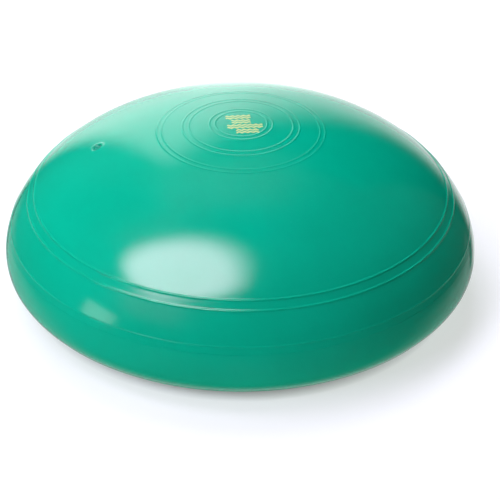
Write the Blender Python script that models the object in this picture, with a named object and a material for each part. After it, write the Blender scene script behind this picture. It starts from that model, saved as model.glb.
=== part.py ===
"""Inflatable balance dome trainer: two turned skins and a stiff floor disc around one air chamber.

Units are metres, +Z is up. The origin is the centre of the standing ring, on the floor.
The outside is a surface of revolution. Its half outline is two quarter superellipses that meet at the
widest circle, followed here with an angle that runs from 0 at the crown to 180 degrees underneath.
"""

import math

import bmesh
import bpy
from mathutils import Matrix, Vector

# Driving dimensions of the inflated body
RADIUS = 0.260
EQUATOR_HEIGHT = 0.047
CROWN_RISE = 0.146
UNDERSIDE_DROP = 0.075
# Superellipse powers: (of the radius, of the height) above and below the widest circle
UPPER_POWERS = (2.07, 1.80)
LOWER_POWERS = (1.88, 2.43)

# Walls, and the gap kept between pieces that are bonded face to face
DOME_WALL = 0.004
SIDE_WALL = 0.005
DISC_THICKNESS = 0.007
BOND_GAP = 0.0003
BOND_FLANGE_INNER = 0.198
SEAM_HEIGHT = EQUATOR_HEIGHT + 0.0224

# Moulded ridges: the crown and shoulder ones by radius, the others by height above the widest circle
RIDGE_HEIGHT = 0.0006
RIDGE_HALF_WIDTH = 0.0016
CROWN_RIDGE_RADII = (0.0281, 0.0343, 0.0562, 0.0632, 0.0853, 0.0907)
SHOULDER_RIDGE_RADII = (0.2257, 0.2330)
WAIST_RIDGE_RISE = 0.0299
UNDER_RIDGE_DROPS = (0.0270, 0.0310)

# Floor disc: a grooved standing ring around a shallow recess, and ribs on its upper face
STANDING_RING_INNER = 0.190
STANDING_RING_OUTER = 0.2085
GRIP_GROOVE_RADII = (0.1948, 0.2032)
GRIP_GROOVE_HALF_WIDTH = 0.0008
GRIP_GROOVE_DEPTH = 0.0008
RECESS_DEPTH = 0.003
RECESS_SLOPE = 0.002
RIM_HEIGHTS = (0.0012, 0.0038, DISC_THICKNESS)
RIB_COUNT = 12
RIB_INNER = 0.030
RIB_OUTER = 0.190
RIB_WIDTH = 0.004
RIB_RISE = 0.008
RIB_SINK = 0.002

# Needle valve, on the dome's -X flank. Depths are measured inwards from the skin's outer face
VALVE_RADIUS = 0.156
VALVE_AZIMUTH = math.pi
HOLE_RADIUS = 0.0052
HOUSING_RADIUS = 0.0049
HOUSING_LIP_DEPTH = 0.0004
HOUSING_LENGTH = 0.0165
FLANGE_RADIUS = 0.0120
FLANGE_TOP_DEPTH = 0.0048
FLANGE_THICKNESS = 0.0022
HEAD_POCKET_RADIUS = 0.0038
HEAD_POCKET_DEPTH = 0.0026
CORE_BORE_RADIUS = 0.0029
CORE_BORE_DEPTH = 0.0145
AIR_HOLE_RADIUS = 0.0012
CORE_RADIUS = 0.0027
CORE_LENGTH = 0.0112
NEEDLE_HOLE_RADIUS = 0.0011
PLUG_HEAD_RADIUS = 0.0034
PLUG_HEAD_TOP_DEPTH = 0.0004
PLUG_HEAD_THICKNESS = 0.0018
PLUG_HEAD_CROWN = 0.0003
PLUG_NIB_RADIUS = 0.0012
PLUG_NIB_RISE = 0.0004
PLUG_STEM_RADIUS = 0.00102
PLUG_STEM_LENGTH = 0.0085

# Steps round the turned pieces, and spans along the skins' outer and inner faces
BODY_STEPS = 64
VALVE_STEPS = 32
CUTTER_STEPS = 48
DOME_OUTER_SPANS = 16
DOME_INNER_SPANS = 11
SIDE_OUTER_SPANS = 9
SIDE_INNER_SPANS = 7
MERGE_DISTANCE = 1e-6
SMOOTH_ANGLE = math.radians(35)


def clear_scene():
    for obj in list(bpy.data.objects):
        bpy.data.objects.remove(obj)


def material(name, colour, roughness, metallic=0.0):
    made = bpy.data.materials.new(name)
    made.use_nodes = True
    shader = made.node_tree.nodes["Principled BSDF"]
    shader.inputs["Base Color"].default_value = (*colour, 1.0)
    shader.inputs["Roughness"].default_value = roughness
    shader.inputs["Metallic"].default_value = metallic
    return made


def outline(angle):
    """(radius, height) of the outer surface at an angle of 0 at the crown to pi underneath."""
    upper = angle <= math.pi / 2
    radius_power, height_power = UPPER_POWERS if upper else LOWER_POWERS
    across = abs(math.sin(angle)) ** (2 / radius_power)
    along = abs(math.cos(angle)) ** (2 / height_power)
    rise = CROWN_RISE * along if upper else -UNDERSIDE_DROP * along
    return Vector((RADIUS * across, EQUATOR_HEIGHT + rise))


def outward(angle):
    """Unit normal of the outline, from the gradient of its superellipse."""
    upper = angle <= math.pi / 2
    radius_power, height_power = UPPER_POWERS if upper else LOWER_POWERS
    half_height = CROWN_RISE if upper else UNDERSIDE_DROP
    radius, height = outline(angle)
    share = abs(height - EQUATOR_HEIGHT) / half_height
    across = radius_power * (radius / RADIUS) ** (radius_power - 1) / RADIUS
    along = height_power * share ** (height_power - 1) / half_height
    return Vector((across, along if upper else -along)).normalized()


def offset(angle, distance):
    """The outline's point moved outwards by distance, or inwards where it is negative."""
    return outline(angle) + distance * outward(angle)


def angle_at_height(height, distance=0.0):
    """Angle at which the outline, or its offset, has this height."""
    low, high = 0.01, math.pi - 0.01
    for _ in range(60):
        middle = (low + high) / 2
        if offset(middle, distance)[1] > height:
            low = middle
        else:
            high = middle
    return low


def angle_at_radius(radius):
    """Angle at which the upper outline has this radius."""
    return math.asin((radius / RADIUS) ** (UPPER_POWERS[0] / 2))


def ridge(angle):
    """Foot, crest and foot of a moulded ridge centred on this angle, as (angle, point) pairs."""
    step = 1e-4
    speed = (outline(angle + step) - outline(angle - step)).length / (2 * step)
    half = RIDGE_HALF_WIDTH / speed
    return [
        (angle - half, outline(angle - half)),
        (angle, offset(angle, RIDGE_HEIGHT)),
        (angle + half, outline(angle + half)),
    ]


def ridged_outline(start, end, count, ridge_angles):
    """Outer points from start to end, with a ridge at each ridge angle and plain points between."""
    ridges = [ridge(angle) for angle in ridge_angles]
    points = [pair for each in ridges for pair in each]
    spacing = (end - start) / count
    for index in range(count + 1):
        angle = start + spacing * index
        at_end = index in (0, count)
        if at_end or all(abs(angle - other) > spacing / 3 for other, _ in points):
            points.append((angle, outline(angle)))
    return [point for _, point in sorted(points, key=lambda pair: pair[0])]


def inner_outline(start, end, count, wall):
    """Points of the skin's inner face, from start to end."""
    return [offset(start + (end - start) * index / count, -wall) for index in range(count + 1)]


def turned_mesh(name, profile, closed, steps):
    """A mesh turned round Z from (radius, height) points. An open profile has both ends on the axis."""
    mesh = bpy.data.meshes.new(name)
    shape = bmesh.new()
    line = [shape.verts.new((radius, 0.0, height)) for radius, height in profile]
    pairs = list(zip(line, line[1:]))
    if closed:
        pairs.append((line[-1], line[0]))
    edges = [shape.edges.new(pair) for pair in pairs]
    bmesh.ops.spin(
        shape, geom=line + edges, axis=(0, 0, 1), cent=(0, 0, 0), steps=steps, angle=2 * math.pi
    )
    bmesh.ops.remove_doubles(shape, verts=shape.verts, dist=MERGE_DISTANCE)
    bmesh.ops.recalc_face_normals(shape, faces=shape.faces)
    shape.to_mesh(mesh)
    shape.free()
    mesh.shade_smooth()
    mesh.set_sharp_from_angle(angle=SMOOTH_ANGLE)
    return mesh


def add_object(name, mesh, finish, parent=None):
    obj = bpy.data.objects.new(name, mesh)
    bpy.context.scene.collection.objects.link(obj)
    if finish:
        mesh.materials.append(finish)
    obj.parent = parent
    return obj


def add_boolean(target, other, operation):
    modifier = target.modifiers.new(f"{operation.lower()}_{other.name}", "BOOLEAN")
    modifier.operation = operation
    modifier.object = other
    modifier.solver = "EXACT"
    other.hide_render = True
    other.display_type = "WIRE"


def make_dome_skin(finish):
    """The upper skin, from the crown down to the seam."""
    seam = SEAM_HEIGHT + BOND_GAP / 2
    ridges = [angle_at_radius(radius) for radius in CROWN_RIDGE_RADII + SHOULDER_RIDGE_RADII]
    ridges.append(angle_at_height(EQUATOR_HEIGHT + WAIST_RIDGE_RISE))
    outer = ridged_outline(0.0, angle_at_height(seam), DOME_OUTER_SPANS, ridges)
    inner = inner_outline(angle_at_height(seam, -DOME_WALL), 0.0, DOME_INNER_SPANS, DOME_WALL)
    inner[-1][0] = 0.0
    outer[0][0] = 0.0
    return add_object("dome_skin", turned_mesh("dome_skin", outer + inner, False, BODY_STEPS), finish)


def make_side_skin(finish):
    """The lower skin, from the seam round the widest circle to a flange that lies on the floor disc."""
    seam = SEAM_HEIGHT - BOND_GAP / 2
    bottom = DISC_THICKNESS + BOND_GAP
    ridges = [angle_at_height(EQUATOR_HEIGHT - drop) for drop in UNDER_RIDGE_DROPS]
    outer = ridged_outline(angle_at_height(seam), angle_at_height(bottom), SIDE_OUTER_SPANS, ridges)
    flange_top = bottom + SIDE_WALL
    flange = [Vector((BOND_FLANGE_INNER, bottom)), Vector((BOND_FLANGE_INNER, flange_top))]
    inner_start = angle_at_height(flange_top, -SIDE_WALL)
    inner_end = angle_at_height(seam, -SIDE_WALL)
    inner = inner_outline(inner_start, inner_end, SIDE_INNER_SPANS, SIDE_WALL)
    profile = outer + flange + inner
    return add_object("side_skin", turned_mesh("side_skin", profile, True, BODY_STEPS), finish)


def make_rib_mesh():
    """Radial ribs that stand on the floor disc's upper face and sink a little into it."""
    shape = bmesh.new()
    length = RIB_OUTER - RIB_INNER
    size = Matrix.Diagonal((length, RIB_WIDTH, RIB_RISE + RIB_SINK, 1.0))
    middle = Vector(((RIB_INNER + RIB_OUTER) / 2, 0.0, DISC_THICKNESS + (RIB_RISE - RIB_SINK) / 2))
    for index in range(RIB_COUNT):
        turn = Matrix.Rotation(2 * math.pi * (index + 0.5) / RIB_COUNT, 4, "Z")
        bmesh.ops.create_cube(shape, size=1.0, matrix=turn @ Matrix.Translation(middle) @ size)
    mesh = bpy.data.meshes.new("floor_disc_ribs")
    shape.to_mesh(mesh)
    shape.free()
    return mesh


def grip_groove(radius):
    """Section of a groove in the standing ring, with its sides leaning outwards."""
    floor_half = GRIP_GROOVE_HALF_WIDTH / 2
    return [
        Vector((radius - GRIP_GROOVE_HALF_WIDTH, 0.0)),
        Vector((radius - floor_half, GRIP_GROOVE_DEPTH)),
        Vector((radius + floor_half, GRIP_GROOVE_DEPTH)),
        Vector((radius + GRIP_GROOVE_HALF_WIDTH, 0.0)),
    ]


def make_floor_disc(finish):
    """The stiff disc that keeps the bottom flat. Its rim carries on the underside's curve to the floor."""
    rim = [outline(angle_at_height(height)) for height in RIM_HEIGHTS]
    grooves = [point for radius in GRIP_GROOVE_RADII for point in grip_groove(radius)]
    profile = [
        Vector((0.0, RECESS_DEPTH)),
        Vector((STANDING_RING_INNER - RECESS_SLOPE, RECESS_DEPTH)),
        Vector((STANDING_RING_INNER, 0.0)),
        *grooves,
        Vector((STANDING_RING_OUTER, 0.0)),
        *rim,
        Vector((0.0, DISC_THICKNESS)),
    ]
    disc = add_object("floor_disc", turned_mesh("floor_disc", profile, False, BODY_STEPS), finish)
    add_boolean(disc, add_object("floor_disc_ribs", make_rib_mesh(), None), "UNION")
    return disc


def make_valve_frame():
    """An empty on the skin's outer face, whose +Z is the valve's axis and points out of the dome."""
    angle = angle_at_radius(VALVE_RADIUS)
    radius, height = outline(angle)
    across, up = outward(angle)
    turn = Matrix.Rotation(VALVE_AZIMUTH, 4, "Z")
    axis = turn @ Vector((across, 0.0, up))
    frame = bpy.data.objects.new("valve_frame", None)
    bpy.context.scene.collection.objects.link(frame)
    frame.rotation_mode = "QUATERNION"
    frame.rotation_quaternion = axis.to_track_quat("Z", "Y")
    frame.location = turn @ Vector((radius, 0.0, height))
    return frame


def cut_valve_hole(skin, frame):
    reach = 3 * DOME_WALL
    profile = [(0.0, reach), (HOLE_RADIUS, reach), (HOLE_RADIUS, -reach), (0.0, -reach)]
    cutter = add_object(
        "valve_hole_cutter", turned_mesh("valve_hole_cutter", profile, False, CUTTER_STEPS), None, frame
    )
    add_boolean(skin, cutter, "DIFFERENCE")


def make_valve_housing(finish, frame):
    """The bush bonded into the skin: a pocket for the plug's head, a seat for the core, a flange inside."""
    flange_bottom = FLANGE_TOP_DEPTH + FLANGE_THICKNESS
    chamfer = 0.0004
    profile = [
        (HEAD_POCKET_RADIUS, -HOUSING_LIP_DEPTH - chamfer),
        (HEAD_POCKET_RADIUS + chamfer, -HOUSING_LIP_DEPTH),
        (HOUSING_RADIUS - chamfer, -HOUSING_LIP_DEPTH),
        (HOUSING_RADIUS, -HOUSING_LIP_DEPTH - chamfer),
        (HOUSING_RADIUS, -FLANGE_TOP_DEPTH),
        (FLANGE_RADIUS, -FLANGE_TOP_DEPTH),
        (FLANGE_RADIUS, -flange_bottom),
        (HOUSING_RADIUS, -flange_bottom),
        (HOUSING_RADIUS - chamfer, -HOUSING_LENGTH),
        (AIR_HOLE_RADIUS, -HOUSING_LENGTH),
        (AIR_HOLE_RADIUS, -CORE_BORE_DEPTH),
        (CORE_BORE_RADIUS, -CORE_BORE_DEPTH),
        (CORE_BORE_RADIUS, -HEAD_POCKET_DEPTH),
        (HEAD_POCKET_RADIUS, -HEAD_POCKET_DEPTH),
    ]
    mesh = turned_mesh("valve_housing", profile, True, VALVE_STEPS)
    return add_object("valve_housing", mesh, finish, frame)


def make_valve_core(finish, frame):
    """The soft self-closing insert with the needle hole along its axis."""
    top = HEAD_POCKET_DEPTH + BOND_GAP
    funnel = 0.0005
    profile = [
        (NEEDLE_HOLE_RADIUS, -top - funnel),
        (NEEDLE_HOLE_RADIUS + funnel, -top),
        (CORE_RADIUS, -top),
        (CORE_RADIUS, -top - CORE_LENGTH),
        (NEEDLE_HOLE_RADIUS, -top - CORE_LENGTH),
    ]
    mesh = turned_mesh("valve_core", profile, True, VALVE_STEPS)
    return add_object("valve_core", mesh, finish, frame)


def make_valve_plug(finish, frame):
    """The stopper: a low domed head with a nib to grip, and a stem that fills the needle hole."""
    head_bottom = -PLUG_HEAD_TOP_DEPTH - PLUG_HEAD_THICKNESS
    edge = 0.0003
    tip = head_bottom - PLUG_STEM_LENGTH
    profile = [
        (0.0, PLUG_NIB_RISE),
        (PLUG_NIB_RADIUS - edge, PLUG_NIB_RISE),
        (PLUG_NIB_RADIUS, PLUG_NIB_RISE - edge),
        (PLUG_NIB_RADIUS, -PLUG_HEAD_TOP_DEPTH + PLUG_HEAD_CROWN),
        (PLUG_HEAD_RADIUS - edge, -PLUG_HEAD_TOP_DEPTH),
        (PLUG_HEAD_RADIUS, -PLUG_HEAD_TOP_DEPTH - edge),
        (PLUG_HEAD_RADIUS, head_bottom),
        (PLUG_STEM_RADIUS, head_bottom),
        (PLUG_STEM_RADIUS, tip + PLUG_STEM_RADIUS),
        (0.0, tip),
    ]
    mesh = turned_mesh("valve_plug", profile, False, VALVE_STEPS)
    return add_object("valve_plug", mesh, finish, frame)


def main():
    clear_scene()
    green = material("green_skin", (0.0, 0.42, 0.27), 0.28)
    dark_green = material("dark_green_disc", (0.0, 0.30, 0.19), 0.45)
    rubber = material("black_rubber", (0.02, 0.02, 0.02), 0.6)
    plug_green = material("green_plug", (0.0, 0.33, 0.22), 0.35)
    dome_skin = make_dome_skin(green)
    make_side_skin(green)
    make_floor_disc(dark_green)
    frame = make_valve_frame()
    cut_valve_hole(dome_skin, frame)
    make_valve_housing(green, frame)
    make_valve_core(rubber, frame)
    make_valve_plug(plug_green, frame)


main()
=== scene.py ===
"""Looks of the balance dome trainer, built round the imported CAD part."""

import math

import bmesh
import bpy
from mathutils import Matrix, Vector, noise


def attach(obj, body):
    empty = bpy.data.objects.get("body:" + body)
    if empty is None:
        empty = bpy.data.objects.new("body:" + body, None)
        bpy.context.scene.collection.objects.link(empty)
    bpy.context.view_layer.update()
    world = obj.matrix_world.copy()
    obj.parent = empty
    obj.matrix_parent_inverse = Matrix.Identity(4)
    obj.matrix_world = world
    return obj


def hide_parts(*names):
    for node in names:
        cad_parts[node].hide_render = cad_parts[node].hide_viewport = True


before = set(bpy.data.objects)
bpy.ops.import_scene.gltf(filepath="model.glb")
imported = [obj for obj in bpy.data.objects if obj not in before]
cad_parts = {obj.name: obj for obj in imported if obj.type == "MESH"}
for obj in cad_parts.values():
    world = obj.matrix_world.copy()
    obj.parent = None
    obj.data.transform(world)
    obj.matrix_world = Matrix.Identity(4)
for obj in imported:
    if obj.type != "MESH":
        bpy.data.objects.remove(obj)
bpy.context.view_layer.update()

# ---------------------------------------------------------------- dimensions, in metres
RADIUS = 0.260
EQUATOR_HEIGHT = 0.047
CROWN_RISE = 0.146
UNDERSIDE_DROP = 0.075
UPPER_POWERS = (2.07, 1.80)
LOWER_POWERS = (1.88, 2.43)

DOME_WALL = 0.004
SIDE_WALL = 0.005
DISC_THICKNESS = 0.007
BOND_GAP = 0.0003
BOND_FLANGE_INNER = 0.198
SEAM_HEIGHT = EQUATOR_HEIGHT + 0.0224

# Moulded ridges: their places, by radius or by height above or below the widest circle
CROWN_RIDGES = (0.0281, 0.0343, 0.0562, 0.0632, 0.0853, 0.0907)
SHOULDER_RIDGES = (0.2257, 0.2330)
WAIST_RIDGE_RISE = 0.0299
UNDER_RIDGE_DROPS = (0.0270, 0.0310)
# Height and half width of each kind of ridge
CROWN_RIDGE_SIZE = (0.00026, 0.0019)
SHOULDER_RIDGE_SIZE = (0.00072, 0.0021)
WAIST_RIDGE_SIZE = (0.0003, 0.0016)
UNDER_RIDGE_SIZE = (0.00035, 0.0015)
RIDGE_STEPS = 8
RIDGE_SHARPNESS = 1.3
SKIN_SPACING = 0.0035
DOME_INNER_SPANS = 24
SIDE_INNER_SPANS = 16

VALVE_RADIUS = 0.156
VALVE_AZIMUTH = math.pi
HOLE_RADIUS = 0.0052
COLLAR_RADIUS = 0.0095
COLLAR_RISE = 0.0004
COLLAR_SINK = 0.0004
HOLE_WALL_DEPTH = 0.98 * DOME_WALL
PATCH_RADIUS = 0.0125
PATCH_SHARES = (0.12, 0.25, 0.36, 0.46, 0.55, 0.63, 0.70, 0.77, 0.83, 0.88, 0.92, 0.96, 0.98, 1.0)

RECESS_DEPTH = 0.003
RECESS_RINGS = (0.040, 0.075, 0.110, 0.145, 0.180)
RECESS_RING_HALF = 0.0015
RECESS_RING_HEIGHT = 0.0007
GRIP_GROOVES = (0.1948, 0.2032)
RIB_COUNT = 12
RIB_INNER = 0.030
RIB_OUTER = 0.190
RIB_WIDTH = 0.004
RIB_RISE = 0.008
RIB_SINK = 0.002

# Emblem rows: left end, right end, level and phase of the wave
EMBLEM_CENTRE = (0.003, -0.002)
EMBLEM_TILT = 6.0
EMBLEM_ROWS = (
    (-0.0185, 0.0090, 0.0165, 0.0),
    (-0.0130, 0.0080, 0.0060, 1.6),
    (-0.0185, 0.0200, -0.0045, 0.8),
    (-0.0100, 0.0150, -0.0150, 2.4),
)
BAR_SPACING = 0.0046
BAR_HALF = 0.0016
BAR_WAVE = 0.0009
BAR_PERIOD = 0.0060

SEAM_LINE = 0.0002
SWELL = 0.00014
TURN_STEPS = 360
VALVE_STEPS = 96

# ---------------------------------------------------------------- stage, in metres and radiance
# Floor: half its side, its drop below the object, and the glow that grows with distance from the axis, from
# none inside a painted contact shadow to full beyond its edge
FLOOR_HALF = 12.0
FLOOR_DROP = 0.0005
FLOOR_GLOW = 0.62
FLOOR_PAINTED_SHADOW_CORE = 0.210
FLOOR_PAINTED_SHADOW_EDGE = 0.240

# Sky: its levels, and the spans of direction over which it changes up and down, and front to back
SKY_ABOVE = 0.04
SKY_BELOW_FRONT = 0.05
SKY_BELOW_BACK = 0.47
SKY_DOWN_SPAN = (-0.38, -0.20)
SKY_BACK_SPAN = (-0.1, 0.4)

SHEET_STEPS = 40
PANEL_FADE = 0.4
PANEL_AIM_HEIGHT = 0.1

# Softbox: seen in reflections only. Its outline is a superellipse with this power
SOFTBOX_CENTRE = (-0.75, -0.66, 1.6)
SOFTBOX_HALF = (0.98, 0.73)
SOFTBOX_POWER = 2.5
SOFTBOX_FADE_START = 0.55
SOFTBOX_LEVEL = 11.3
SOFTBOX_TINT = (1.04, 0.78, 0.94)

# Sweep behind the object: its top edge falls to the right, and it is brighter at the left
SWEEP_CENTRE = (0.4, 2.5, 0.8)
SWEEP_HALF = (1.9, 2.4)
SWEEP_TOP = 1.55
SWEEP_SLOPE = 1.25
SWEEP_FADE = 0.7
SWEEP_LEFT_LEVEL = 1.8
SWEEP_LEFT_EXTRA = 0.8
SWEEP_LEVEL_SPAN = (-0.3, 0.5)
SWEEP_LEFT_END = (-1.4, -0.95)
SWEEP_RIGHT_END = (1.3, 2.2)
SWEEP_LOW_DIP = 0.5
SWEEP_LOW_ACROSS = (0.0, 0.4)
SWEEP_LOW_DOWN = (-0.7, 0.7)

# Azimuth, elevation, distance, width, height and level of a small panel seen in reflections only
SIDE_GLINT = (-153.0, 9.5, 1.5, 0.50, 0.40, 2.6)

# Azimuth, elevation, distance, width, height, level and blueness of each fill
FILLS = {
    "back_fill": (108.0, 25.0, 2.5, 2.4, 2.0, 2.4, 1.2),
    "high_back_fill": (100.0, 60.0, 2.6, 2.0, 1.4, 8.3, 1.2),
    "front_left_fill": (-135.0, 35.0, 2.5, 1.4, 1.0, 11.4, 1.28),
    "high_left_fill": (-170.0, 62.0, 2.5, 1.4, 1.4, 7.6, 1.2),
    "left_fill": (180.0, 30.0, 2.5, 1.6, 1.2, 0.4, 1.0),
    "right_back_fill": (40.0, 30.0, 2.5, 1.5, 1.2, 0.3, 0.9),
}


# ---------------------------------------------------------------- camera
CAMERA_DISTANCE = 2.098
CAMERA_ELEVATION = 32.03
CAMERA_ROLL = 0.54
CAMERA_AIM = (0.0107, -0.0131)
CAMERA_LENS = 135.35


def make_camera():
    """On the -Y side, 32 degrees up, with the dome a little left of and above the frame's centre."""
    elevation = math.radians(CAMERA_ELEVATION)
    centre = Vector((0.0, 0.0, EQUATOR_HEIGHT))
    back = Vector((0.0, -math.cos(elevation), math.sin(elevation)))
    right = Vector((1.0, 0.0, 0.0))
    up = right.cross(-back)
    location = centre + CAMERA_DISTANCE * back
    aim = centre + CAMERA_AIM[0] * right + CAMERA_AIM[1] * up
    roll = Matrix.Rotation(math.radians(CAMERA_ROLL), 3, back)
    look = (aim - location).to_track_quat("-Z", "Y").to_matrix()
    data = bpy.data.cameras.new("camera")
    data.lens = CAMERA_LENS
    data.sensor_width = 36.0
    data.clip_end = 50.0
    camera = bpy.data.objects.new("camera", data)
    camera.matrix_world = Matrix.Translation(location) @ (roll @ look).to_4x4()
    bpy.context.scene.collection.objects.link(camera)
    bpy.context.scene.camera = camera


make_camera()


# ---------------------------------------------------------------- outline of the turned body
def outline(angle):
    """(radius, height) of the outer surface at an angle of 0 at the crown to pi underneath."""
    upper = angle <= math.pi / 2
    radius_power, height_power = UPPER_POWERS if upper else LOWER_POWERS
    across = abs(math.sin(angle)) ** (2 / radius_power)
    along = abs(math.cos(angle)) ** (2 / height_power)
    rise = CROWN_RISE * along if upper else -UNDERSIDE_DROP * along
    return Vector((RADIUS * across, EQUATOR_HEIGHT + rise))


def outward(angle):
    """Unit normal of the outline, from the gradient of its superellipse."""
    upper = angle <= math.pi / 2
    radius_power, height_power = UPPER_POWERS if upper else LOWER_POWERS
    half_height = CROWN_RISE if upper else UNDERSIDE_DROP
    radius, height = outline(angle)
    share = abs(height - EQUATOR_HEIGHT) / half_height
    across = radius_power * (radius / RADIUS) ** (radius_power - 1) / RADIUS
    along = height_power * share ** (height_power - 1) / half_height
    return Vector((across, along if upper else -along)).normalized()


def offset(angle, distance):
    """The outline's point moved outwards by distance."""
    return outline(angle) + distance * outward(angle)


def angle_at_height(height, distance=0.0):
    """Angle at which the outline, or its offset, has this height."""
    low, high = 0.01, math.pi - 0.01
    for _ in range(60):
        middle = (low + high) / 2
        if offset(middle, distance)[1] > height:
            low = middle
        else:
            high = middle
    return low


def angle_at_radius(radius):
    """Angle at which the upper outline has this radius."""
    return math.asin((radius / RADIUS) ** (UPPER_POWERS[0] / 2))


def speed(angle):
    """Outline length for one radian of the angle."""
    step = 1e-4
    return (outline(angle + step) - outline(angle - step)).length / (2 * step)


def ridge_points(angle, height, half_width):
    """A moulded ridge with a rounded crest and hollow feet: (angle, rise) pairs across it."""
    pairs = []
    for index in range(-RIDGE_STEPS, RIDGE_STEPS + 1):
        share = index / RIDGE_STEPS
        rise = height * (0.5 + 0.5 * math.cos(math.pi * share)) ** RIDGE_SHARPNESS
        pairs.append((angle + share * half_width / speed(angle), rise))
    return pairs


def turned_profile(start, end, spacing, ridges):
    """(radius, height) points from one angle to another, with every ridge drawn in full."""
    pairs = []
    for angle, height, half_width in ridges:
        pairs += ridge_points(angle, height, half_width)
    covered = [(a - 1.05 * w / speed(a), a + 1.05 * w / speed(a)) for a, _, w in ridges]
    length = sum(speed(start + (end - start) * (i + 0.5) / 100) for i in range(100)) * (end - start) / 100
    count = max(2, round(length / spacing))
    for index in range(count + 1):
        angle = start + (end - start) * index / count
        if index in (0, count) or not any(low < angle < high for low, high in covered):
            pairs.append((angle, 0.0))
    pairs.sort()
    return [offset(angle, rise) for angle, rise in pairs]


# ---------------------------------------------------------------- mesh helpers
def turned_object(name, profile, closed, steps=TURN_STEPS):
    """A mesh turned round Z. An open profile has both ends on the axis."""
    rows = []
    verts = []
    faces = []
    for radius, height in profile:
        if radius < 1e-6:
            rows.append([len(verts)] * steps)
            verts.append((0.0, 0.0, height))
            continue
        first = len(verts)
        rows.append(list(range(first, first + steps)))
        for index in range(steps):
            turn = 2 * math.pi * index / steps
            verts.append((radius * math.cos(turn), radius * math.sin(turn), height))
    pairs = list(zip(rows, rows[1:]))
    if closed:
        pairs.append((rows[-1], rows[0]))
    for one, two in pairs:
        for index in range(steps):
            after = (index + 1) % steps
            corners = [one[index], two[index], two[after], one[after]]
            loop = [c for place, c in enumerate(corners) if c not in corners[:place]]
            if len(loop) > 2:
                faces.append(loop)
    mesh = bpy.data.meshes.new(name)
    mesh.from_pydata(verts, [], faces)
    mesh.validate()
    shape = bmesh.new()
    shape.from_mesh(mesh)
    bmesh.ops.recalc_face_normals(shape, faces=shape.faces)
    shape.to_mesh(mesh)
    shape.free()
    mesh.shade_smooth()
    mesh.set_sharp_from_angle(angle=math.radians(40))
    obj = bpy.data.objects.new(name, mesh)
    bpy.context.scene.collection.objects.link(obj)
    return obj


def finish_piece(obj, material, body, slot_name, *nodes):
    """Gives a piece its material and body, and hides the CAD nodes that it stands for."""
    obj.data.materials.clear()
    obj.data.materials.append(material)
    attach(obj, body)
    if nodes:
        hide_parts(*nodes)
    return obj


# ---------------------------------------------------------------- materials
class Graph:
    """Short calls for building a material's nodes."""

    def __init__(self, name):
        self.material = bpy.data.materials.new(name)
        self.material.use_nodes = True
        self.nodes = self.material.node_tree.nodes
        self.links = self.material.node_tree.links
        self.shader = self.nodes["Principled BSDF"]
        self.coords = self.nodes.new("ShaderNodeTexCoord").outputs["Object"]

    def noise(self, scale, detail=3.0, roughness=0.5, distortion=0.0):
        node = self.nodes.new("ShaderNodeTexNoise")
        node.inputs["Scale"].default_value = scale
        node.inputs["Detail"].default_value = detail
        node.inputs["Roughness"].default_value = roughness
        node.inputs["Distortion"].default_value = distortion
        self.links.new(self.coords, node.inputs["Vector"])
        return node.outputs["Fac"]

    def cells(self, scale):
        node = self.nodes.new("ShaderNodeTexVoronoi")
        node.inputs["Scale"].default_value = scale
        self.links.new(self.coords, node.inputs["Vector"])
        return node.outputs["Distance"]

    def ramp(self, value, low, high, out_low, out_high):
        node = self.nodes.new("ShaderNodeMapRange")
        node.inputs["From Min"].default_value = low
        node.inputs["From Max"].default_value = high
        node.inputs["To Min"].default_value = out_low
        node.inputs["To Max"].default_value = out_high
        self.links.new(value, node.inputs["Value"])
        return node.outputs["Result"]

    def blend(self, share, one, two):
        node = self.nodes.new("ShaderNodeMix")
        node.data_type = "RGBA"
        self.links.new(share, node.inputs["Factor"])
        for socket, value in (("A", one), ("B", two)):
            target = [s for s in node.inputs if s.name == socket and s.type == "RGBA"][0]
            if isinstance(value, tuple):
                target.default_value = (*value, 1.0)
            else:
                self.links.new(value, target)
        return [s for s in node.outputs if s.type == "RGBA"][0]

    def add(self, one, two):
        node = self.nodes.new("ShaderNodeMath")
        node.operation = "ADD"
        self.links.new(one, node.inputs[0])
        self.links.new(two, node.inputs[1])
        return node.outputs["Value"]

    def bump(self, height, strength, distance):
        node = self.nodes.new("ShaderNodeBump")
        node.inputs["Strength"].default_value = strength
        node.inputs["Distance"].default_value = distance
        self.links.new(height, node.inputs["Height"])
        self.links.new(node.outputs["Normal"], self.shader.inputs["Normal"])

    def set(self, socket, value):
        target = self.shader.inputs[socket]
        if isinstance(value, (int, float)):
            target.default_value = value
        elif isinstance(value, tuple):
            target.default_value = (*value, 1.0)
        else:
            self.links.new(value, target)


def make_skin_material():
    """Glossy soft PVC: slightly mottled green with a fine moulded grain and rubbed patches."""
    g = Graph("green_pvc")
    cloud = g.noise(9.0, 4.0, 0.55)
    speck = g.noise(420.0, 2.0, 0.6)
    tone = g.blend(g.ramp(cloud, 0.35, 0.65, 0.0, 1.0), (0.0, 0.345, 0.190), (0.0, 0.372, 0.208))
    colour = g.blend(g.ramp(speck, 0.62, 0.78, 0.0, 0.35), tone, (0.004, 0.40, 0.235))
    g.set("Base Color", colour)
    rub = g.noise(26.0, 5.0, 0.65, 0.6)
    fine = g.noise(900.0, 2.0, 0.5)
    rough = g.add(g.ramp(rub, 0.4, 0.75, 0.105, 0.15), g.ramp(fine, 0.3, 0.7, -0.012, 0.012))
    g.set("Roughness", rough)
    g.set("IOR", 1.5)
    grain = g.noise(1100.0, 2.0, 0.5)
    pebble = g.noise(260.0, 2.0, 0.5)
    g.bump(g.add(g.ramp(grain, 0.0, 1.0, 0.0, 0.4), pebble), 0.16, 0.0002)
    return g.material


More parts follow.
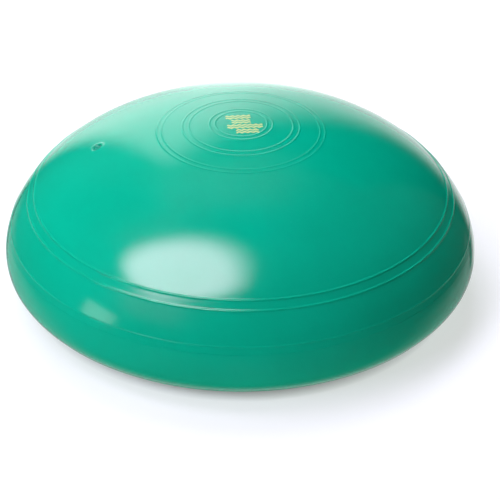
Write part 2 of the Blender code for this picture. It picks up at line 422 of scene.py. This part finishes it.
def make_disc_material():
    """Stiffer, duller green vinyl of the floor disc, scuffed where it stands."""
    g = Graph("floor_disc_vinyl")
    cloud = g.noise(14.0, 4.0, 0.6)
    scuff = g.noise(70.0, 6.0, 0.7, 1.5)
    tone = g.blend(g.ramp(cloud, 0.35, 0.65, 0.0, 1.0), (0.0, 0.205, 0.135), (0.0, 0.235, 0.155))
    g.set("Base Color", g.blend(g.ramp(scuff, 0.6, 0.72, 0.0, 0.3), tone, (0.04, 0.29, 0.21)))
    g.set("Roughness", g.ramp(scuff, 0.35, 0.75, 0.38, 0.6))
    pebble = g.cells(520.0)
    g.bump(pebble, 0.35, 0.0003)
    return g.material


def make_moulded_material(name, dark, light, low, high):
    """Small moulding with faint flow marks, in two tones and between two roughness values."""
    g = Graph(name)
    flow = g.noise(160.0, 3.0, 0.6, 0.8)
    g.set("Base Color", g.blend(g.ramp(flow, 0.35, 0.65, 0.0, 1.0), dark, light))
    g.set("Roughness", g.ramp(flow, 0.3, 0.7, low, high))
    g.set("Specular IOR Level", 0.25)
    g.bump(g.noise(1800.0, 2.0, 0.5), 0.15, 0.0001)
    return g.material


def make_print_material():
    """Screen-printed gold ink, a little worn."""
    g = Graph("gold_ink")
    wear = g.noise(420.0, 4.0, 0.65, 0.4)
    g.set("Base Color", g.blend(g.ramp(wear, 0.42, 0.72, 0.0, 1.0), (0.45, 0.55, 0.18), (0.30, 0.49, 0.19)))
    g.set("Roughness", g.ramp(wear, 0.3, 0.7, 0.3, 0.5))
    g.bump(g.noise(1500.0, 2.0, 0.5), 0.1, 0.0001)
    return g.material


skin_material = make_skin_material()
disc_material = make_disc_material()
# The housing and the plug get greens darker than the skin's: painted shade of the hollow round the valve.
housing_material_with_painted_shade = make_moulded_material(
    "valve_housing_pvc", (0.0, 0.28, 0.165), (0.0, 0.32, 0.19), 0.42, 0.55
)
core_material = make_moulded_material("valve_rubber", (0.012, 0.013, 0.013), (0.03, 0.03, 0.03), 0.6, 0.8)
plug_material_with_painted_shade = make_moulded_material("valve_plug_pvc", (0.0, 0.22, 0.13), (0.0, 0.27, 0.16), 0.42, 0.55)
print_material = make_print_material()


# ---------------------------------------------------------------- places on the skin
def height_at(x, y):
    """Height of the dome's plain outer surface above a point of the floor."""
    return outline(angle_at_radius(math.hypot(x, y)))[1]


def normal_at(x, y):
    """Outward normal of the dome's plain outer surface above a point of the floor."""
    across, up = outward(angle_at_radius(max(math.hypot(x, y), 1e-5)))
    turn = math.atan2(y, x)
    return Vector((across * math.cos(turn), across * math.sin(turn), up))


def swell(place):
    """The slight unevenness of an inflated skin."""
    return SWELL * (noise.noise(place * 11.0) + 0.4 * noise.noise(place * 27.0))


def valve_placement():
    """Placement on the skin's outer face whose +Z is the valve's axis and points out of the dome."""
    x, y = VALVE_RADIUS * math.cos(VALVE_AZIMUTH), VALVE_RADIUS * math.sin(VALVE_AZIMUTH)
    axis = normal_at(x, y)
    turn = axis.to_track_quat("Z", "Y").to_matrix().to_4x4()
    return Matrix.Translation((x, y, height_at(x, y))) @ turn


def valve_collar(distance):
    """Rise of the skin round the valve: a rounded bead that rolls down into the hole."""
    if distance >= COLLAR_RADIUS:
        return 0.0
    share = (distance - HOLE_RADIUS) / (COLLAR_RADIUS - HOLE_RADIUS)
    bead = COLLAR_RISE * (0.5 - 0.5 * math.cos(2 * math.pi * share ** 0.75))
    return bead - COLLAR_SINK * max(0.0, 1.0 - 3.2 * share) ** 2


def open_valve_hole(obj, placement):
    """Replaces the outer skin's faces near the valve by rings that run in to the round hole."""
    inverse = placement.inverted()
    shape = bmesh.new()
    shape.from_mesh(obj.data)
    near = []
    for face in shape.faces:
        local = inverse @ face.calc_center_median()
        if math.hypot(local.x, local.y) < PATCH_RADIUS and abs(local.z) < 0.5 * DOME_WALL:
            near.append(face)
    bmesh.ops.delete(shape, geom=near, context="FACES")
    edges = [edge for edge in shape.edges if edge.is_boundary]
    loop = ordered_loop(edges)
    rings = [loop]
    for share in PATCH_SHARES:
        ring = []
        for vert in loop:
            local = inverse @ vert.co
            flat = Vector((local.x, local.y))
            distance = flat.length + (HOLE_RADIUS - flat.length) * share
            flat = flat.normalized() * distance
            ring.append(shape.verts.new(on_skin(placement, flat, valve_collar(distance))))
        rings.append(ring)
    wall = []
    for vert in rings[-1]:
        local = inverse @ vert.co
        wall.append(shape.verts.new(placement @ Vector((local.x, local.y, -HOLE_WALL_DEPTH))))
    rings.append(wall)
    for one, two in zip(rings, rings[1:]):
        for index in range(len(loop)):
            after = (index + 1) % len(loop)
            shape.faces.new((one[index], one[after], two[after], two[index]))
    bmesh.ops.recalc_face_normals(shape, faces=shape.faces)
    shape.to_mesh(obj.data)
    shape.free()


def ordered_loop(edges):
    """Vertices of a closed loop of edges, in order."""
    first = edges[0]
    loop = [first.verts[0], first.verts[1]]
    left = set(edges[1:])
    while left:
        step = next(edge for edge in loop[-1].link_edges if edge in left)
        left.remove(step)
        loop.append(step.other_vert(loop[-1]))
    return loop[:-1]


def on_skin(placement, flat, rise):
    """Point of the dome's outer face over (u, v) of the valve's tangent plane, lifted by rise."""
    axis = placement.to_3x3().col[2]
    place = placement @ Vector((flat.x, flat.y, 0.0))
    for _ in range(6):
        place += axis * (height_at(place.x, place.y) - place.z) * axis.z
    return place + axis * rise


# ---------------------------------------------------------------- skins
def undulate(obj):
    """Moves every point along its normal by the skin's slight unevenness."""
    mesh = obj.data
    moved = [v.co + v.normal * swell(v.co) for v in mesh.vertices]
    for vertex, place in zip(mesh.vertices, moved):
        vertex.co = place


def smooth_below(mesh, degrees):
    """Smooth shading, with a sharp edge where faces turn by more than this many degrees."""
    mesh.shade_smooth()
    mesh.set_sharp_from_angle(angle=math.radians(degrees))


def ridge_list(angles, size):
    """(angle, height, half width) of ridges of one size at several angles."""
    return [(angle, *size) for angle in angles]


def inner_profile(start, end, count, wall):
    """Points of a skin's inner face, from start to end."""
    return [offset(start + (end - start) * i / count, -wall) for i in range(count + 1)]


def make_dome_skin():
    """The upper skin, from the crown down to the seam, still without the valve's hole."""
    seam = SEAM_HEIGHT + SEAM_LINE / 2
    ridges = ridge_list([angle_at_radius(r) for r in CROWN_RIDGES], CROWN_RIDGE_SIZE)
    ridges += ridge_list([angle_at_radius(r) for r in SHOULDER_RIDGES], SHOULDER_RIDGE_SIZE)
    ridges += ridge_list([angle_at_height(EQUATOR_HEIGHT + WAIST_RIDGE_RISE)], WAIST_RIDGE_SIZE)
    outer = turned_profile(0.0, angle_at_height(seam), SKIN_SPACING, ridges)
    inner = inner_profile(angle_at_height(seam, -DOME_WALL), 0.0, DOME_INNER_SPANS, DOME_WALL)
    outer[0][0] = 0.0
    inner[-1][0] = 0.0
    return turned_object("dome_skin_pvc", outer + inner, False)


def make_side_skin():
    """The lower skin, from the seam round the widest circle to the flange on the floor disc."""
    seam = SEAM_HEIGHT - SEAM_LINE / 2
    bottom = DISC_THICKNESS + BOND_GAP
    flange_top = bottom + SIDE_WALL
    drops = [angle_at_height(EQUATOR_HEIGHT - drop) for drop in UNDER_RIDGE_DROPS]
    ridges = ridge_list(drops, UNDER_RIDGE_SIZE)
    outer = turned_profile(angle_at_height(seam), angle_at_height(bottom), SKIN_SPACING, ridges)
    flange = [Vector((BOND_FLANGE_INNER, bottom)), Vector((BOND_FLANGE_INNER, flange_top))]
    start = angle_at_height(flange_top, -SIDE_WALL)
    end = angle_at_height(seam, -SIDE_WALL)
    inner = inner_profile(start, end, SIDE_INNER_SPANS, SIDE_WALL)
    return turned_object("side_skin_pvc", outer + flange + inner, True)


def make_floor_disc():
    """Standing ring with two grooves round a shallow recess that carries fine moulded rings."""
    profile = [Vector((0.0, RECESS_DEPTH))]
    for radius in RECESS_RINGS:
        for index in range(-4, 5):
            share = index / 4
            drop = RECESS_RING_HEIGHT * (0.5 + 0.5 * math.cos(math.pi * share))
            profile.append(Vector((radius + share * RECESS_RING_HALF, RECESS_DEPTH - drop)))
    profile += rounded([(0.188, RECESS_DEPTH), (0.190, 0.0)], 0.0008, (0.186, RECESS_DEPTH), (0.193, 0.0))
    for radius in GRIP_GROOVES:
        profile += [
            Vector((radius - 0.0009, 0.0)),
            Vector((radius - 0.0006, 0.0003)),
            Vector((radius - 0.0003, 0.0008)),
            Vector((radius + 0.0003, 0.0008)),
            Vector((radius + 0.0006, 0.0003)),
            Vector((radius + 0.0009, 0.0)),
        ]
    profile.append(Vector((0.2080, 0.0)))
    rim = [angle_at_height(height) for height in (0.0004, 0.0010, 0.0020, 0.0035, 0.0052, DISC_THICKNESS)]
    profile += [outline(angle) for angle in rim]
    profile.append(Vector((0.0, DISC_THICKNESS)))
    return turned_object("floor_disc_vinyl", profile, False)


def rounded(corners, radius, before, after):
    """The corners of a line cut back by a short two-point round, between the points before and after."""
    line = [Vector(before), *[Vector(c) for c in corners], Vector(after)]
    points = []
    for one, corner, two in zip(line, line[1:], line[2:]):
        near = corner + (one - corner).normalized() * radius
        far = corner + (two - corner).normalized() * radius
        points += [near, (near + far + 2 * corner) / 4, far]
    return points


def make_ribs():
    """Radial ribs on the floor disc's inner face, with tapered tops."""
    shape = bmesh.new()
    for index in range(RIB_COUNT):
        turn = Matrix.Rotation(2 * math.pi * (index + 0.5) / RIB_COUNT, 4, "Z")
        made = bmesh.ops.create_cube(shape, size=1.0)["verts"]
        for vert in made:
            top = vert.co.z > 0
            length = RIB_OUTER - RIB_INNER - (0.010 if top else 0.0)
            width = RIB_WIDTH * (0.7 if top else 1.0)
            along = (RIB_INNER + RIB_OUTER) / 2 + vert.co.x * length
            level = DISC_THICKNESS + (RIB_RISE if top else -RIB_SINK)
            vert.co = turn @ Vector((along, vert.co.y * width, level))
    bmesh.ops.bevel(shape, geom=shape.edges, offset=0.0008, segments=2, affect="EDGES", profile=0.5)
    mesh = bpy.data.meshes.new("floor_disc_ribs")
    shape.to_mesh(mesh)
    shape.free()
    smooth_below(mesh, 40)
    ribs = bpy.data.objects.new("floor_disc_ribs", mesh)
    bpy.context.scene.collection.objects.link(ribs)
    return ribs


# ---------------------------------------------------------------- valve
def valve_piece(name, profile, closed, placement):
    """A turned piece of the valve, from (radius, depth) points about the valve's axis."""
    piece = turned_object(name, [Vector(point) for point in profile], closed, VALVE_STEPS)
    piece.matrix_world = placement
    return piece


def make_housing(placement):
    """The bush: a rounded lip, a flange under the skin, and a bore with an air hole below."""
    return valve_piece("valve_housing_pvc", [
        (0.0038, -0.0012),
        (0.0039, -0.0007),
        (0.0041, -0.00045),
        (0.0044, -0.0004),
        (0.0047, -0.00045),
        (0.0049, -0.0007),
        (0.0049, -0.0048),
        (0.0117, -0.0048),
        (0.0120, -0.0051),
        (0.0120, -0.0067),
        (0.0117, -0.0070),
        (0.0049, -0.0070),
        (0.0045, -0.0163),
        (0.0043, -0.0165),
        (0.0012, -0.0165),
        (0.0012, -0.0145),
        (0.0029, -0.0145),
        (0.0029, -0.0026),
        (0.0038, -0.0026),
    ], True, placement)


def make_core(placement):
    """The soft insert with the needle hole along its axis."""
    return valve_piece("valve_core_rubber", [
        (0.0011, -0.0034),
        (0.0013, -0.0031),
        (0.0017, -0.0029),
        (0.0025, -0.0029),
        (0.0027, -0.0031),
        (0.0027, -0.0139),
        (0.0025, -0.0141),
        (0.0013, -0.0141),
        (0.0011, -0.0139),
    ], True, placement)


def make_plug(placement):
    """The stopper: a low domed head with a nib, and a stem with a rounded tip."""
    return valve_piece("valve_plug_pvc", [
        (0.0, 0.0004),
        (0.0008, 0.0004),
        (0.00105, 0.0003),
        (0.0012, 0.0),
        (0.0013, -0.0002),
        (0.0016, -0.0003),
        (0.0030, -0.0004),
        (0.0033, -0.0005),
        (0.0034, -0.0008),
        (0.0034, -0.0020),
        (0.0032, -0.0022),
        (0.00102, -0.0022),
        (0.00102, -0.0098),
        (0.0007, -0.0104),
        (0.0, -0.0107),
    ], False, placement)


# ---------------------------------------------------------------- printed emblem
def wave_bar(shape, left, right, level, phase):
    """One wavy bar of ink that follows the crown, with its edges dipping into the skin."""
    count = max(12, round((right - left) / 0.0005))
    rows = []
    tilt = math.radians(EMBLEM_TILT)
    for index in range(count + 1):
        along = left + (right - left) * index / count
        end = min(index, count - index) / count * (right - left)
        half = BAR_HALF * math.sqrt(max(0.0, 1 - (1 - min(1.0, end / BAR_HALF)) ** 2))
        middle = level + BAR_WAVE * math.sin(2 * math.pi * along / BAR_PERIOD + phase)
        row = []
        for side, lift in ((-1.0, -0.0001), (-0.93, 0.00012), (0.93, 0.00012), (1.0, -0.0001)):
            u, v = along, middle + side * max(half, 0.00012)
            x = EMBLEM_CENTRE[0] + u * math.cos(tilt) - v * math.sin(tilt)
            y = EMBLEM_CENTRE[1] + u * math.sin(tilt) + v * math.cos(tilt)
            place = Vector((x, y, height_at(x, y)))
            normal = normal_at(x, y)
            row.append(shape.verts.new(place + normal * (lift + swell(place))))
        rows.append(row)
    for one, two in zip(rows, rows[1:]):
        for index in range(3):
            shape.faces.new((one[index], two[index], two[index + 1], one[index + 1]))


def make_emblem():
    """Four rows of twin waves in gold ink."""
    shape = bmesh.new()
    for left, right, level, phase in EMBLEM_ROWS:
        for side in (-0.5, 0.5):
            wave_bar(shape, left, right, level + side * BAR_SPACING, phase)
    bmesh.ops.recalc_face_normals(shape, faces=shape.faces)
    mesh = bpy.data.meshes.new("crown_emblem_print")
    shape.to_mesh(mesh)
    shape.free()
    smooth_below(mesh, 60)
    emblem = bpy.data.objects.new("crown_emblem_print", mesh)
    bpy.context.scene.collection.objects.link(emblem)
    return emblem


# ---------------------------------------------------------------- the object
valve = valve_placement()
dome_skin = make_dome_skin()
open_valve_hole(dome_skin, valve)
smooth_below(dome_skin.data, 50)
side_skin = make_side_skin()
undulate(dome_skin)
undulate(side_skin)
finish_piece(dome_skin, skin_material, "body", "skin", "dome_skin")
finish_piece(side_skin, skin_material, "body", "skin", "side_skin")
finish_piece(make_floor_disc(), disc_material, "body", "floor_disc", "floor_disc")
finish_piece(make_ribs(), disc_material, "body", "floor_disc")
finish_piece(make_housing(valve), housing_material_with_painted_shade, "body", "valve_housing", "valve_housing")
finish_piece(make_core(valve), core_material, "body", "valve_rubber", "valve_core")
finish_piece(make_plug(valve), plug_material_with_painted_shade, "plug", "valve_plug", "valve_plug")
finish_piece(make_emblem(), print_material, "body", "print_gold")


# ---------------------------------------------------------------- stage

def smooth(value, low, high):
    """0 at low, 1 at high, with an S curve between."""
    share = min(1.0, max(0.0, (value - low) / (high - low)))
    return share * share * (3 - 2 * share)


def make_floor():
    """A pale floor with a glow of its own that fades out under the object, which paints a contact shadow
    round its foot.
    """
    half = FLOOR_HALF
    mesh = bpy.data.meshes.new("floor")
    corners = [(-half, -half, 0), (half, -half, 0), (half, half, 0), (-half, half, 0)]
    mesh.from_pydata(corners, [], [(0, 1, 2, 3)])
    floor = bpy.data.objects.new("floor", mesh)
    floor.location.z = -FLOOR_DROP
    g = Graph("studio_floor")
    g.set("Base Color", g.blend(g.noise(3.0), (0.37, 0.37, 0.373), (0.39, 0.39, 0.393)))
    g.set("Roughness", 0.7)
    g.set("Specular IOR Level", 0.2)
    g.set("Emission Color", (1.0, 1.0, 1.0))
    reach = g.nodes.new("ShaderNodeVectorMath")
    reach.operation = "LENGTH"
    g.links.new(g.coords, reach.inputs[0])
    # The glow's fall to nothing near the axis is a painted contact shadow.
    glow = g.ramp(reach.outputs["Value"], FLOOR_PAINTED_SHADOW_CORE, FLOOR_PAINTED_SHADOW_EDGE, 0.0, FLOOR_GLOW)
    g.set("Emission Strength", glow)
    mesh.materials.append(g.material)
    bpy.context.scene.collection.objects.link(floor)
    floor.visible_glossy = False


def glow_material(name, tint):
    """Light at the level that the mesh's glow attribute gives."""
    g = Graph(name)
    emission = g.nodes.new("ShaderNodeEmission")
    emission.inputs["Color"].default_value = (*tint, 1.0)
    level = g.nodes.new("ShaderNodeAttribute")
    level.attribute_name = "glow"
    g.links.new(level.outputs["Fac"], emission.inputs["Strength"])
    g.links.new(emission.outputs["Emission"], g.nodes["Material Output"].inputs["Surface"])
    g.nodes.remove(g.shader)
    return g.material


def make_sheet(name, centre, right, up, level, reflected, tint=(1.0, 1.0, 1.0)):
    """A glowing sheet. level(u, v) is its radiance, with u and v from -1 to 1 across and up it.

    It shows either in reflections only or as light only.
    """
    points = []
    levels = []
    faces = []
    wide = SHEET_STEPS + 1
    for row in range(wide):
        for column in range(wide):
            u, v = 2 * column / SHEET_STEPS - 1, 2 * row / SHEET_STEPS - 1
            points.append(centre + u * right + v * up)
            levels.append(level(u, v))
    for row in range(SHEET_STEPS):
        for column in range(SHEET_STEPS):
            first = row * wide + column
            faces.append((first, first + 1, first + wide + 1, first + wide))
    mesh = bpy.data.meshes.new(name)
    mesh.from_pydata(points, [], faces)
    mesh.attributes.new("glow", "FLOAT", "POINT").data.foreach_set("value", levels)
    mesh.materials.append(glow_material(name, tint))
    sheet = bpy.data.objects.new(name, mesh)
    bpy.context.scene.collection.objects.link(sheet)
    sheet.visible_camera = False
    sheet.visible_shadow = False
    sheet.visible_diffuse = not reflected
    sheet.visible_glossy = reflected


def softbox_level(u, v):
    """A rounded rectangle, even in its middle and soft towards its edge."""
    reach = (abs(u) ** SOFTBOX_POWER + abs(v) ** SOFTBOX_POWER) ** (1 / SOFTBOX_POWER)
    return SOFTBOX_LEVEL * (1.0 - smooth(reach, SOFTBOX_FADE_START, 1.0))


def sweep_level(u, v):
    """A pale sweep behind the object, whose top edge falls from left to right."""
    x = SWEEP_CENTRE[0] + u * SWEEP_HALF[0]
    z = SWEEP_CENTRE[2] + v * SWEEP_HALF[1]
    top = SWEEP_TOP - SWEEP_SLOPE * x
    fade = 1.0 - smooth(z, top - SWEEP_FADE, top + SWEEP_FADE)
    low = 1.0 - SWEEP_LOW_DIP * smooth(-x, *SWEEP_LOW_ACROSS) * smooth(-z, *SWEEP_LOW_DOWN)
    bright = SWEEP_LEFT_LEVEL - SWEEP_LEFT_EXTRA * smooth(x, *SWEEP_LEVEL_SPAN)
    ends = smooth(x, *SWEEP_LEFT_END) * (1.0 - smooth(x, *SWEEP_RIGHT_END))
    return bright * fade * low * ends


def panel_level(u, v):
    """1 in a panel's middle, fading to 0 at its edges."""
    return smooth(1.0 - abs(u), 0.0, PANEL_FADE) * smooth(1.0 - abs(v), 0.0, PANEL_FADE)


def make_panel(name, azimuth, elevation, distance, width, height, level, blue=1.0, reflected=False):
    """A panel with soft edges that faces the object."""
    turn, rise = math.radians(azimuth), math.radians(elevation)
    flat = math.cos(rise)
    away = Vector((flat * math.cos(turn), flat * math.sin(turn), math.sin(rise)))
    right = Vector((0.0, 0.0, 1.0)).cross(away).normalized()
    up = away.cross(right)
    centre = Vector((0.0, 0.0, PANEL_AIM_HEIGHT)) + distance * away
    half_right, half_up = right * width / 2, up * height / 2
    tint = (1.0, 1.0, blue)
    make_sheet(name, centre, half_right, half_up, lambda u, v: level * panel_level(u, v), reflected, tint)


def make_sky():
    """A dim even sky, brighter well below the horizon at the back, as a pale room is."""
    world = bpy.data.worlds.new("world")
    world.use_nodes = True
    nodes, links = world.node_tree.nodes, world.node_tree.links
    place = nodes.new("ShaderNodeTexCoord")
    parts = nodes.new("ShaderNodeSeparateXYZ")
    links.new(place.outputs["Generated"], parts.inputs["Vector"])
    below = nodes.new("ShaderNodeMapRange")
    links.new(parts.outputs["Y"], below.inputs["Value"])
    below.inputs["From Min"].default_value = SKY_BACK_SPAN[0]
    below.inputs["From Max"].default_value = SKY_BACK_SPAN[1]
    below.inputs["To Min"].default_value = SKY_BELOW_FRONT
    below.inputs["To Max"].default_value = SKY_BELOW_BACK
    shade = nodes.new("ShaderNodeMapRange")
    links.new(parts.outputs["Z"], shade.inputs["Value"])
    links.new(below.outputs["Result"], shade.inputs["To Min"])
    shade.inputs["From Min"].default_value = SKY_DOWN_SPAN[0]
    shade.inputs["From Max"].default_value = SKY_DOWN_SPAN[1]
    shade.inputs["To Max"].default_value = SKY_ABOVE
    links.new(shade.outputs["Result"], nodes["Background"].inputs["Strength"])
    nodes["Background"].inputs["Color"].default_value = (1.0, 1.0, 1.0, 1.0)
    bpy.context.scene.world = world


make_floor()
softbox_right = Vector((SOFTBOX_HALF[0], 0.0, 0.0))
softbox_up = Vector((0.0, SOFTBOX_HALF[1], 0.0))
make_sheet(
    "softbox", Vector(SOFTBOX_CENTRE), softbox_right, softbox_up, softbox_level, True, SOFTBOX_TINT
)
sweep_right = Vector((SWEEP_HALF[0], 0.0, 0.0))
sweep_up = Vector((0.0, 0.0, SWEEP_HALF[1]))
make_sheet("back_sweep", Vector(SWEEP_CENTRE), sweep_right, sweep_up, sweep_level, True)
make_panel("side_glint", *SIDE_GLINT, reflected=True)
for name, fill in FILLS.items():
    make_panel(name, *fill)
make_sky()
bpy.context.scene.view_settings.view_transform = "Standard"
